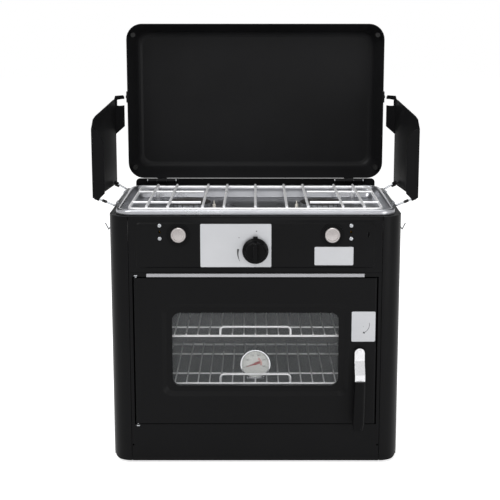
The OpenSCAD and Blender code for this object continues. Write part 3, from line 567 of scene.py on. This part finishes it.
@dataclass
class FrameDress:
    """Finishes and edges of the CAD nodes; widths are in millimetres, angles in degrees."""
    finishes: dict[Kit, tuple[str, ...]] = field(default_factory=lambda: {
        Kit.CASE_BLACK: ("side_panel_left", "side_panel_right", "back_panel", "base_pan",
                         "top_deck", "front_frame", "control_panel", "door_outer_panel",
                         "door_inner_panel"),
        Kit.LID_BLACK: ("lid_pan", "lid_hinge_leaves", "body_hinge_leaves", "lid_brackets"),
        Kit.SCREEN_BLACK: ("windscreen_left", "windscreen_right"),
        Kit.TRIM: ("trim_strip",),
        Kit.RUBBER: ("feet", "lid_bumpers"),
        Kit.ZINC: ("rack_rails", "bail_clips", "lid_hinge_pins", "door_hinge_pins", "side_hooks",
                   "inlet_plate", "latch_tongue", "case_screws", "bail_left", "bail_right"),
        Kit.LINER: ("oven_liner", "oven_floor", "oven_burner"),
        Kit.CHROME: ("thermometer_case",),
        Kit.NICKEL: ("upper_rack", "lower_rack", "pan_grate"),
        Kit.SATIN_CHROME: ("door_handle",),
        Kit.BUTTON_CAP: ("igniter_button_left", "igniter_button_right"),
        Kit.DIAL: ("thermometer_dial",),
        Kit.LENS: ("thermometer_lens",),
        Kit.GLASS: ("window_glass",),
        Kit.POINTER: ("thermometer_pointer",),
        Kit.ALUMINIUM: ("oven_gas_pipe", "gas_manifold", "venturi_tubes", "burner_heads"),
        Kit.BRASS: ("burner_valves", "oven_valve", "valve_stem", "gas_inlet"),
        Kit.BLACK_PLASTIC: ("oven_knob", "igniter_bodies", "handle_grip"),
        Kit.PLATE: ("label_plates", "latch_plate"),
        Kit.STAINLESS: ("hob_tray",),
        Kit.IRON: ("burner_caps",),
        Kit.CERAMIC: ("spark_electrodes",),
        Kit.ROPE: ("door_gasket",),
    })
    # Width of the rounding on edges that catch the light
    rounded: dict[str, float] = field(default_factory=lambda: {
        "side_panel_left": 0.4, "side_panel_right": 0.4, "front_frame": 0.4,
        "control_panel": 0.4, "door_outer_panel": 0.5, "lid_pan": 0.4, "hob_tray": 1.2,
        "top_deck": 0.4, "back_panel": 0.4, "oven_knob": 0.5, "handle_grip": 0.5,
        "label_plates": 0.15, "latch_plate": 0.15, "trim_strip": 0.5, "windscreen_left": 0.3,
        "windscreen_right": 0.3, "door_handle": 0.4, "burner_heads": 0.5, "feet": 0.8,
    })
    # Angle from which an edge stays crisp, and the nodes with shallow steps that need less
    crease: float = 24.0
    creases: dict[str, float] = field(default_factory=lambda: {
        "door_outer_panel": 9.0, "control_panel": 9.0, "lid_pan": 14.0,
    })
    weld: float = 0.01
    flat_angle: float = 0.6
    edge_angle: float = 40.0
    edge_steps: int = 2

    def dress(self) -> None:
        """Paints every node, rounds the edges that catch the light and smooths the curves."""
        for finish, names in self.finishes.items():
            for name in names:
                paint(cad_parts[name], finish)
                LOG.info("node %s finished as %s", name, finish.value.name)
        for name, width in self.rounded.items():
            self.soften_edges(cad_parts[name], width)
        tree, limit = self.smoothing_tree()
        for name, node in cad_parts.items():
            smooth = node.modifiers.new("smooth", "NODES")
            smooth.node_group = tree
            if name in self.creases:
                smooth[limit] = math.radians(self.creases[name])
            weighted = node.modifiers.new("weighted", "WEIGHTED_NORMAL")
            weighted.keep_sharp = True

    def soften_edges(self, node: Object, width: float) -> None:
        """Joins a node's loose triangles into flats and rounds its hard edges.

        Args:
            node: the CAD node.
            width: width of the rounding.
        """
        weld = node.modifiers.new("weld", "WELD")
        weld.merge_threshold = self.weld * MM
        plane = node.modifiers.new("plane", "DECIMATE")
        plane.decimate_type = "DISSOLVE"
        plane.angle_limit = math.radians(self.flat_angle)
        bevel = node.modifiers.new("bevel", "BEVEL")
        bevel.width = width * MM
        bevel.segments = self.edge_steps
        bevel.limit_method = "ANGLE"
        bevel.angle_limit = math.radians(self.edge_angle)

    def smoothing_tree(self) -> tuple[NodeTree, str]:
        """Builds the tree that joins a node's loose triangles and shades its curves smooth.

        Returns:
            A geometry nodes tree, and the identifier of its input for the crease angle.
        """
        tree = bpy.data.node_groups.new("shade_curves_smooth", "GeometryNodeTree")
        face = tree.interface
        face.new_socket(name="Geometry", in_out="INPUT", socket_type="NodeSocketGeometry")
        limit = face.new_socket(name="Crease angle", in_out="INPUT", socket_type="NodeSocketFloat")
        limit.default_value = math.radians(self.crease)
        face.new_socket(name="Geometry", in_out="OUTPUT", socket_type="NodeSocketGeometry")
        given = add_node(tree, "NodeGroupInput")
        merged = add_node(tree, "GeometryNodeMergeByDistance", None, {
            "Geometry": given.outputs["Geometry"], "Distance": self.weld * MM})
        angle = add_node(tree, "GeometryNodeInputMeshEdgeAngle")
        soft = add_node(tree, "FunctionNodeCompare",
                        {"data_type": "FLOAT", "operation": "LESS_THAN"},
                        {0: angle.outputs["Unsigned Angle"], 1: given.outputs["Crease angle"]})
        faces = add_node(tree, "GeometryNodeSetShadeSmooth", {"domain": "FACE"}, {
            "Geometry": merged.outputs["Geometry"], "Shade Smooth": True})
        edges = add_node(tree, "GeometryNodeSetShadeSmooth", {"domain": "EDGE"}, {
            "Geometry": faces.outputs["Geometry"], "Shade Smooth": soft.outputs["Result"]})
        add_node(tree, "NodeGroupOutput", None, {"Geometry": edges.outputs["Geometry"]})
        return tree, limit.identifier


@dataclass(frozen=True)
class Span:
    """The box of a CAD node in millimetres."""
    low: Vector
    high: Vector

    @classmethod
    def of(cls, node: str) -> "Span":
        """Reads the box of a node."""
        low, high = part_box(node)
        return cls(low / MM, high / MM)

    @property
    def middle(self) -> Vector:
        """Centre of the box."""
        return (self.low + self.high) / 2

    @property
    def size(self) -> Vector:
        """Width, depth and height of the box."""
        return self.high - self.low


def arc(cx: float, cy: float, radius: float, start: float, end: float,
        steps: int) -> list[tuple[float, float]]:
    """Finds points along an arc.

    Args:
        cx: centre along X.
        cy: centre along Y.
        radius: radius of the arc.
        start: first angle in degrees.
        end: last angle in degrees.
        steps: number of stretches.

    Returns:
        One point more than there are stretches.
    """
    angles = [math.radians(start + (end - start) * i / steps) for i in range(steps + 1)]
    return [(cx + radius * math.cos(a), cy + radius * math.sin(a)) for a in angles]


def rounded_outline(width: float, depth: float, radius: float, steps: int) -> list[Vector]:
    """Points round a rectangle with round corners, in millimetres, about its middle.

    Args:
        width: size along X.
        depth: size along Y.
        radius: corner radius.
        steps: points on each corner.

    Returns:
        The points, counter-clockwise.
    """
    points = []
    for corner, (sx, sy) in enumerate(((1, 1), (-1, 1), (-1, -1), (1, -1))):
        turn = 90 * corner
        points += arc(sx * (width / 2 - radius), sy * (depth / 2 - radius), radius,
                      turn, turn + 90, steps - 1)
    return [Vector((x, y, 0)) for x, y in points]


def skin(rings: list[list[Vector]], closed: bool = False, cap: bool = False) -> BMesh:
    """Joins rings of equal length, given in millimetres, with faces.

    Args:
        rings: the rings, in order.
        closed: joins the last ring to the first.
        cap: closes the last ring with a face.

    Returns:
        A smooth bmesh in metres.
    """
    bm = bmesh.new()
    rows = [[bm.verts.new(p * MM) for p in ring] for ring in rings]
    pairs = list(zip(rows, rows[1:])) + ([(rows[-1], rows[0])] if closed else [])
    for low, high in pairs:
        for i in range(len(low)):
            j = (i + 1) % len(low)
            bm.faces.new((low[i], low[j], high[j], high[i]))
    if cap:
        bm.faces.new(rows[-1])
    for face in bm.faces:
        face.smooth = True
    return bm


def flat_shape(outline: list[tuple[float, float]], thickness: float) -> BMesh:
    """Makes a thin plate, drawn in X and Y and raised along Z.

    Args:
        outline: corners in millimetres.
        thickness: thickness in millimetres.

    Returns:
        A closed bmesh in metres.
    """
    bm = bmesh.new()
    face = bm.faces.new([bm.verts.new(mm(x, y, 0)) for x, y in outline])
    lifted = bmesh.ops.extrude_face_region(bm, geom=[face])
    moved = [v for v in lifted["geom"] if isinstance(v, BMVert)]
    bmesh.ops.translate(bm, vec=mm(0, 0, thickness), verts=moved)
    return bm


def merge(target: BMesh, source: BMesh, place: Matrix) -> None:
    """Adds one bmesh to another.

    Args:
        target: the bmesh that grows.
        source: the bmesh that is added, and freed.
        place: where it goes.
    """
    source.transform(place)
    data = bpy.data.meshes.new("part")
    source.to_mesh(data)
    source.free()
    target.from_mesh(data)
    bpy.data.meshes.remove(data)


@dataclass
class HobTray:
    """Drawn stainless tray with a rolled rim, in place of the plain tray."""
    height: float = 24.0
    wall: float = 0.9
    corner: float = 30.0
    least_corner: float = 6.0
    # Skirt under the rolled edge, tucked in at its hem
    skirt: float = 9.6
    hem: float = 1.0
    tuck: float = 0.3
    roll: float = 4.2
    # Flat rim, then the wall that slopes down to the floor
    rim: float = 9.0
    lip: float = 3.0
    lip_end: float = 12.0
    slope: float = 8.0
    fillet: float = 6.0
    fillet_start: float = 195.0
    # Shallow stiffening bead round the floor
    bead_gap: float = 12.0
    bead_ramp: float = 2.0
    bead_top: float = 5.0
    bead: float = 1.4
    steps: int = 14

    def profile(self, depth: float) -> list[tuple[float, float]]:
        """Draws the sheet from the skirt's foot over the rim to the floor.

        Args:
            depth: depth of the pan from its rim.

        Returns:
            Points of (inset, height).
        """
        points = [(self.tuck, -self.skirt), (0.0, self.hem - self.skirt)]
        points += arc(self.roll, -self.roll, self.roll, 180, 90, 6)
        points += arc(self.rim - self.lip, -self.lip, self.lip, 90, self.lip_end, 4)
        foot = self.rim + self.slope + self.fillet
        points += arc(foot, self.fillet - depth, self.fillet, self.fillet_start, 270, 6)
        start = foot + self.bead_gap
        crest = start + self.bead_ramp
        points += [(start, -depth), (crest, self.bead - depth),
                   (crest + self.bead_top, self.bead - depth),
                   (crest + self.bead_top + self.bead_ramp, -depth)]
        return points

    def build(self) -> None:
        """Makes the tray and hides the plain one."""
        box = Span.of("hob_tray")
        rim = Vector((box.middle.x, box.middle.y, box.low.z + self.height))
        rings = []
        for inset, height in self.profile(self.height - self.wall):
            outline = rounded_outline(box.size.x - 2 * inset, box.size.y - 2 * inset,
                                      max(self.corner - inset, self.least_corner), self.steps)
            rings.append([p + rim + Vector((0, 0, height)) for p in outline])
        tray = mesh_object("rolled_hob_tray", skin(rings, cap=True), Kit.STAINLESS)
        sheet = tray.modifiers.new("sheet", "SOLIDIFY")
        sheet.thickness = self.wall * MM
        sheet.offset = -1
        sheet.use_even_offset = True
        attach(tray, "root", "stainless", "hob_tray")


@dataclass
class Screws:
    """Pan head screws with a cross recess, on the panel, the tray and the back."""
    head: float = 3.5
    height: float = 1.9
    sides: int = 24
    edge: float = 0.5
    dome: tuple[float, ...] = (0.35, 0.7, 1.05, 1.3)
    recess: float = 2.1
    blade: float = 0.55
    recess_depth: float = 1.2
    # Keeps the two blades' tops apart, so that the cut stays clean
    blade_step: float = 0.01
    panel_x: float = 168.6
    panel_z: tuple[float, ...] = (441.1, 417.9)
    sunk: float = 0.05
    tray_x: float = 205.0
    tray_y: float = 112.0
    tray_sheet: float = 1.0
    back_x: float = 250.0
    back_z: tuple[float, ...] = (60.0, 200.0, 340.0)

    def template(self) -> Object:
        """Makes one screw head.

        Returns:
            The head with its recess, looking along +Z.
        """
        profile = [(self.head, 0.0), (self.head, self.edge)]
        profile += [(self.head * math.cos(a), self.edge + (self.height - self.edge) * math.sin(a))
                    for a in self.dome]
        profile += [(0.0, self.height)]
        head = mesh_object("screw_head", lathe(profile, self.sides), Kit.ZINC)
        cross = bmesh.new()
        size = Matrix.Diagonal((2 * self.recess * MM, 2 * self.blade * MM, 2 * self.recess_depth * MM, 1))
        for turn, step in ((0, 0.0), (90, self.blade_step)):
            blade = bmesh.new()
            bmesh.ops.create_cube(blade, size=1.0)
            merge(cross, blade, turned(turn, "Z") @ facing_up(0, 0, self.height + step) @ size)
        cutter = mesh_object("screw_cross", cross, Kit.ZINC)
        cut = head.modifiers.new("recess", "BOOLEAN")
        cut.object = cutter
        cut.solver = "EXACT"
        cut.use_self = True
        shape = link("cross_recess_screw", baked_mesh(head))
        bpy.data.objects.remove(cutter)
        return shape

    def places(self) -> list[Matrix]:
        """Finds where the screws sit, from the boxes of the case.

        Returns:
            One frame for each screw, with +Z out of the sheet.
        """
        front = Span.of("control_panel").low.y + self.sunk
        back = Span.of("back_panel").high.y
        tray = Span.of("hob_tray")
        sides = (-1, 1)
        found = [facing_front(x * self.panel_x, front, z) for x in sides for z in self.panel_z]
        found += [facing_up(x * self.tray_x, tray.middle.y + y * self.tray_y,
                            tray.low.z + self.tray_sheet) for x in sides for y in sides]
        found += [facing_back(x * self.back_x, back, z) for x in sides for z in self.back_z]
        return found

    def build(self, repeater: Repeater) -> None:
        """Sets a screw on every place."""
        screws = repeater.run("cross_recess_screws", self.template(), self.places(), Kit.ZINC)
        attach(screws, "root", "zinc_steel", "case_screws")


@dataclass
class ThermometerFace:
    """Scale, plain numbers and a colour band on the thermometer's dial."""
    start: float = 200.0
    sweep: float = 220.0
    ticks: int = 50
    major: int = 10
    # Length and width of a minor and a major tick
    minor_size: tuple[float, float] = (1.6, 0.3)
    major_size: tuple[float, float] = (3.2, 0.55)
    outer: float = 23.6
    lift: float = 0.06
    figures: tuple[str, ...] = ("50", "100", "150", "200", "250", "300")
    figure_size: float = 4.6
    figure_radius: float = 16.6
    figure_steps: int = 3
    # Hot zone: its two radii and the share of the scale where it begins
    zone_outer: float = 12.6
    zone_inner: float = 8.6
    zone_from: float = 0.62
    zone_steps: int = 14

    def degrees(self, share: float) -> float:
        """Angle in degrees at a share of the scale."""
        return self.start - self.sweep * share

    def at(self, share: float, radius: float, height: float = 0.0) -> Matrix:
        """A place at a share of the scale and a radius in millimetres, before it is turned."""
        a = math.radians(self.degrees(share))
        return facing_up(radius * math.cos(a), radius * math.sin(a), height)

    def build(self, repeater: Repeater) -> None:
        """Makes the scale on the dial's face.

        Args:
            repeater: the tree that sets the ticks.
        """
        dial = Span.of("thermometer_dial")
        face = facing_front(dial.middle.x, dial.low.y, dial.middle.z)
        self.scale(repeater, face, "dial_minor_ticks", self.minor_size, False)
        self.scale(repeater, face, "dial_major_ticks", self.major_size, True)
        self.numbers(face)
        self.zone(face)

    def scale(self, repeater: Repeater, face: Matrix, name: str, size: tuple[float, float],
              major: bool) -> None:
        """Sets one kind of tick round the scale.

        Args:
            repeater: the tree that sets them.
            face: the dial's frame.
            name: name of the piece.
            size: length and width of a tick.
            major: the kind of tick.
        """
        length, width = size
        shares = [i / self.ticks for i in range(self.ticks + 1) if (i % self.major == 0) == major]
        places = [face @ self.at(share, self.outer - length) @ turned(self.degrees(share), "Z")
                  for share in shares]
        bar = [(0, -width / 2), (length, -width / 2), (length, width / 2), (0, width / 2)]
        tick = mesh_object("tick", flat_shape(bar, self.lift), Kit.DIAL_INK)
        attach(repeater.run(name, tick, places, Kit.DIAL_INK), "root", "dial_white")

    def numbers(self, face: Matrix) -> None:
        """Writes plain numbers inside the scale.

        Args:
            face: the dial's frame.
        """
        whole = bmesh.new()
        for i, figure in enumerate(self.figures):
            data = bpy.data.curves.new("figure", "FONT")
            data.body = figure
            data.size = self.figure_size * MM
            data.extrude = self.lift * MM / 2
            data.align_x = "CENTER"
            data.align_y = "CENTER"
            data.resolution_u = self.figure_steps
            mesh = baked_mesh(link("figure", data))
            share = i / (len(self.figures) - 1)
            mesh.transform(face @ self.at(share, self.figure_radius, self.lift / 2))
            whole.from_mesh(mesh)
            bpy.data.meshes.remove(mesh)
        attach(mesh_object("dial_numbers", whole, Kit.DIAL_INK), "root", "dial_white")

    def zone(self, face: Matrix) -> None:
        """Prints a pale red zone at the hot end of the scale.

        Args:
            face: the dial's frame.
        """
        hot, end = self.degrees(self.zone_from), self.degrees(1)
        outline = arc(0, 0, self.zone_outer, hot, end, self.zone_steps)
        outline += arc(0, 0, self.zone_inner, end, hot, self.zone_steps)
        bm = flat_shape(outline, self.lift)
        bm.transform(face)
        attach(mesh_object("dial_zone", bm, Kit.ZONE), "root", "dial_white")


@dataclass
class PlateMarks:
    """Plain marks on the bare plates: two dots, a widening wedge and a latch arrow."""
    lift: float = 0.06
    # X, Z and radius of each dot
    dots: tuple[tuple[float, float, float], ...] = ((1.8, 431.3, 1.1), (-28.8, 419.7, 0.8))
    # The wedge curves round the knob, and its middle is this far over the knob's foot
    wedge_rise: float = 20.0
    wedge_radius: float = 32.4
    wedge_angles: tuple[float, float] = (170.0, 212.0)
    wedge_thin: float = 0.4
    wedge_growth: float = 3.2
    wedge_steps: int = 16
    # The arrow's bend has its centre beside the plate's middle
    arrow_centre: tuple[float, float] = (-6.0, 4.0)
    arrow_radius: float = 16.6
    arrow_line: float = 0.4
    arrow_head: float = 2.4
    arrow_angles: tuple[float, float] = (10.0, -62.0)
    arrow_tip: float = -74.0
    arrow_steps: int = 14

    def build(self) -> None:
        """Makes the marks."""
        plates = Span.of("label_plates")
        marks = bmesh.new()
        face = plates.low.y
        for x, z, r in self.dots:
            merge(marks, flat_shape(arc(0, 0, r, 0, 345, 23), self.lift), facing_front(x, face, z))
        merge(marks, flat_shape(self.wedge(), self.lift),
              facing_front(0, face, Span.of("oven_knob").low.z + self.wedge_rise))
        attach(mesh_object("plate_marks", marks, Kit.DIAL_INK), "root", "plate_silver")
        latch = Span.of("latch_plate")
        arrow = flat_shape(self.arrow(), self.lift)
        arrow.transform(facing_front(latch.middle.x, latch.low.y, latch.middle.z))
        attach(mesh_object("latch_arrow", arrow, Kit.DIAL_INK), "door", "plate_silver")

    def wedge(self) -> list[tuple[float, float]]:
        """Draws a curved wedge left of the knob, wide at its top.

        Returns:
            Its outline in millimetres.
        """
        top, end = self.wedge_angles
        outline = arc(0, 0, self.wedge_radius, top, end, self.wedge_steps)
        for i in range(self.wedge_steps + 1):
            share = i / self.wedge_steps
            a = math.radians(end + (top - end) * share)
            reach = self.wedge_radius - self.wedge_thin - self.wedge_growth * share
            outline.append((reach * math.cos(a), reach * math.sin(a)))
        return outline

    def arrow(self) -> list[tuple[float, float]]:
        """Draws a quarter turn arrow.

        Returns:
            Its outline in millimetres.
        """
        start, end = self.arrow_angles
        centre, middle = self.arrow_centre, self.arrow_radius
        outline = arc(*centre, middle + self.arrow_line, start, end, self.arrow_steps)
        for reach, angle in ((middle + self.arrow_head, end), (middle, self.arrow_tip),
                             (middle - self.arrow_head, end)):
            a = math.radians(angle)
            outline.append((centre[0] + reach * math.cos(a), centre[1] + reach * math.sin(a)))
        return outline + arc(*centre, middle - self.arrow_line, end, start, self.arrow_steps)


@dataclass
class DoorSeal:
    """Braided glass fibre rope round the back of the door, in place of the plain seal."""
    radius: float = 2.6
    strands: int = 5
    lobe: float = 0.10
    pitch: float = 14.0
    ring_step: float = 2.2
    sides: int = 20
    inset: float = 3.0
    corner: float = 8.0
    corner_steps: int = 7

    def build(self) -> None:
        """Sweeps a lobed section round the seal's path, turning as it goes."""
        path = self.path(Span.of("door_gasket"))
        rings = []
        travelled = 0.0
        side = Vector((0, 1, 0))
        for i, p in enumerate(path):
            ahead = path[(i + 1) % len(path)]
            along = (ahead - path[i - 1]).normalized()
            up = along.cross(side)
            ring = []
            for k in range(self.sides):
                a = math.tau * k / self.sides
                twist = self.strands * a - math.tau * travelled / self.pitch
                reach = self.radius * (1 + self.lobe * math.cos(twist))
                ring.append(p + (side * math.cos(a) + up * math.sin(a)) * reach)
            rings.append(ring)
            travelled += (ahead - p).length
        seal = mesh_object("door_rope_seal", skin(rings, closed=True), Kit.ROPE)
        attach(seal, "door", "seal_rope", "door_gasket")

    def path(self, box: Span) -> list[Vector]:
        """Spaces points evenly round the seal.

        Args:
            box: the plain seal's box.

        Returns:
            The points in millimetres.
        """
        corners = rounded_outline(box.size.x - 2 * self.inset, box.size.z - 2 * self.inset,
                                  self.corner, self.corner_steps)
        base = [Vector((box.middle.x + p.x, box.middle.y, box.middle.z + p.y)) for p in corners]
        points = []
        for i, p in enumerate(base):
            q = base[(i + 1) % len(base)]
            count = max(1, round((q - p).length / self.ring_step))
            points += [p.lerp(q, k / count) for k in range(count)]
        return points


@dataclass
class InletThread:
    """Thread on the gas inlet's end, as one closed ring for each turn."""
    radius: float = 9.5
    fit: float = 0.02
    crest: float = 0.45
    pitch: float = 1.6
    length: float = 12.0
    wall: float = 1.0
    setback: float = 0.6
    sides: int = 48

    def build(self) -> None:
        """Turns the thread's profile about the inlet."""
        inlet = Span.of("gas_inlet")
        turns = int(self.length / self.pitch)
        end = turns * self.pitch
        root = self.radius + self.fit
        top = self.radius + self.crest
        profile = [(self.radius - self.wall, 0.0)]
        for i in range(turns):
            z = i * self.pitch
            profile += [(root, z), (top, z + self.pitch * 0.4), (top, z + self.pitch * 0.6)]
        profile += [(root, end), (self.radius - self.wall, end)]
        bm = lathe(profile, self.sides)
        bm.transform(facing_up(inlet.high.x - end - self.setback, inlet.middle.y, inlet.middle.z)
                     @ turned(90, "Y"))
        attach(mesh_object("inlet_thread", bm, Kit.BRASS), "root", "brass")


@dataclass
class WireSleeves:
    """Black sleeves on the bail wires, next to the windscreens."""
    bore: float = 1.9
    radius: float = 2.6
    length: float = 9.0
    chamfer: float = 0.5
    sides: int = 20
    wire: float = 1.8
    # Where a leg of the bail ends, in from the outer side and down from the top
    end_inset: float = 1.0
    end_drop: float = 1.2
    share: float = 0.42

    def build(self) -> None:
        """Puts one sleeve on each leg of the two bails."""
        profile = [(self.bore, 0), (self.radius, self.chamfer),
                   (self.radius, self.length - self.chamfer), (self.bore, self.length)]
        for hand, side in (("left", -1), ("right", 1)):
            bail = Span.of(f"bail_{hand}")
            inner, outer = sorted((bail.low.x, bail.high.x), key=abs)
            foot = Vector((inner + side * self.wire, 0, bail.low.z + self.wire))
            end = Vector((outer - side * self.end_inset, 0, bail.high.z - self.end_drop))
            turn = (end - foot).normalized().to_track_quat("Z", "Y").to_matrix().to_4x4()
            at = foot.lerp(end, self.share)
            both = bmesh.new()
            for y in (bail.low.y + self.wire, bail.high.y - self.wire):
                merge(both, lathe(profile, self.sides), facing_up(at.x, y, at.z) @ turn)
            sleeves = mesh_object(f"bail_sleeves_{hand}", both, Kit.RUBBER)
            attach(sleeves, f"{hand}_screen", "rubber")


@dataclass
class RearUpstand:
    """Black strip behind the hob that closes the view between the rim and the open lid."""
    width: float = 486.0
    wall: float = 1.0
    behind: float = 1.5
    top_gap: float = 1.2
    height: float = 30.0
    corner: float = 8.0

    def build(self) -> None:
        """Makes the strip with two round top corners."""
        top = Span.of("lid_pan").low.z - self.top_gap
        back = Span.of("back_panel").high.y + self.behind + self.wall
        half, r = self.width / 2, self.corner
        outline = [(-half, -self.height), (half, -self.height)]
        outline += arc(half - r, -r, r, 0, 90, 6) + arc(r - half, -r, r, 90, 180, 6)
        bm = flat_shape(outline, self.wall)
        bm.transform(facing_front(0, back, top))
        attach(mesh_object("rear_upstand", bm, Kit.CASE_BLACK), "root", "black_case")


@dataclass
class GrateFeet:
    """Bright sleeves round the four legs of the pan grate."""
    leg_x: float = 194.0
    leg_y: float = 119.0
    radius: float = 3.6
    bore: float = 1.9
    height: float = 15.0
    chamfer: float = 0.6
    lift: float = 0.2
    sides: int = 28

    def build(self, repeater: Repeater) -> None:
        """Sets a sleeve on every leg.

        Args:
            repeater: the tree that sets them.
        """
        grate = Span.of("pan_grate")
        profile = [(self.bore, 0), (self.radius, 0), (self.radius, self.height - self.chamfer),
                   (self.radius - self.chamfer, self.height), (self.bore, self.height)]
        shape = mesh_object("foot_sleeve", lathe(profile, self.sides), Kit.NICKEL)
        places = [facing_up(x * self.leg_x, grate.middle.y + y * self.leg_y,
                            grate.low.z + self.lift) for x in (-1, 1) for y in (-1, 1)]
        sleeves = repeater.run("grate_foot_sleeves", shape, places, Kit.NICKEL)
        attach(sleeves, "grate", "chrome")


@dataclass
class Rivets:
    """Dome rivets in the hinge leaves on the back."""
    radius: float = 2.6
    height: float = 1.1
    sides: int = 24
    # Length of one hinge pin, whose middle is the middle of its leaf
    pin_length: float = 59.0
    spread: float = 19.0
    rise: float = 7.0
    row_gap: float = 14.0

    def build(self, repeater: Repeater) -> None:
        """Sets four rivets in every leaf.

        Args:
            repeater: the tree that sets them.
        """
        leaves = Span.of("body_hinge_leaves")
        hinge_x = (Span.of("lid_hinge_pins").size.x - self.pin_length) / 2
        profile = [(self.radius * x, self.height * z) for x, z in arc(0, 0, 1, 0, 90, 6)]
        shape = mesh_object("rivet", lathe(profile, self.sides), Kit.LID_BLACK)
        places = [facing_up(s * hinge_x + t * self.spread, leaves.high.y, leaves.low.z + z)
                  @ turned(-90, "X")
                  for s in (-1, 1) for t in (-1, 1) for z in (self.rise, self.rise + self.row_gap)]
        rivets = repeater.run("hinge_rivets", shape, places, Kit.LID_BLACK)
        attach(rivets, "root", "black_case")


def main() -> None:
    """Builds the studio, dresses the frame and adds the modelled pieces."""
    logging.basicConfig(level=logging.INFO, format="%(message)s")
    Studio().build()
    FrameDress().dress()
    repeater = Repeater("set_on_places")
    HobTray().build()
    Screws().build(repeater)
    ThermometerFace().build(repeater)
    PlateMarks().build()
    DoorSeal().build()
    InletThread().build()
    WireSleeves().build()
    RearUpstand().build()
    GrateFeet().build(repeater)
    Rivets().build(repeater)


if __name__ == "__main__":
    main()
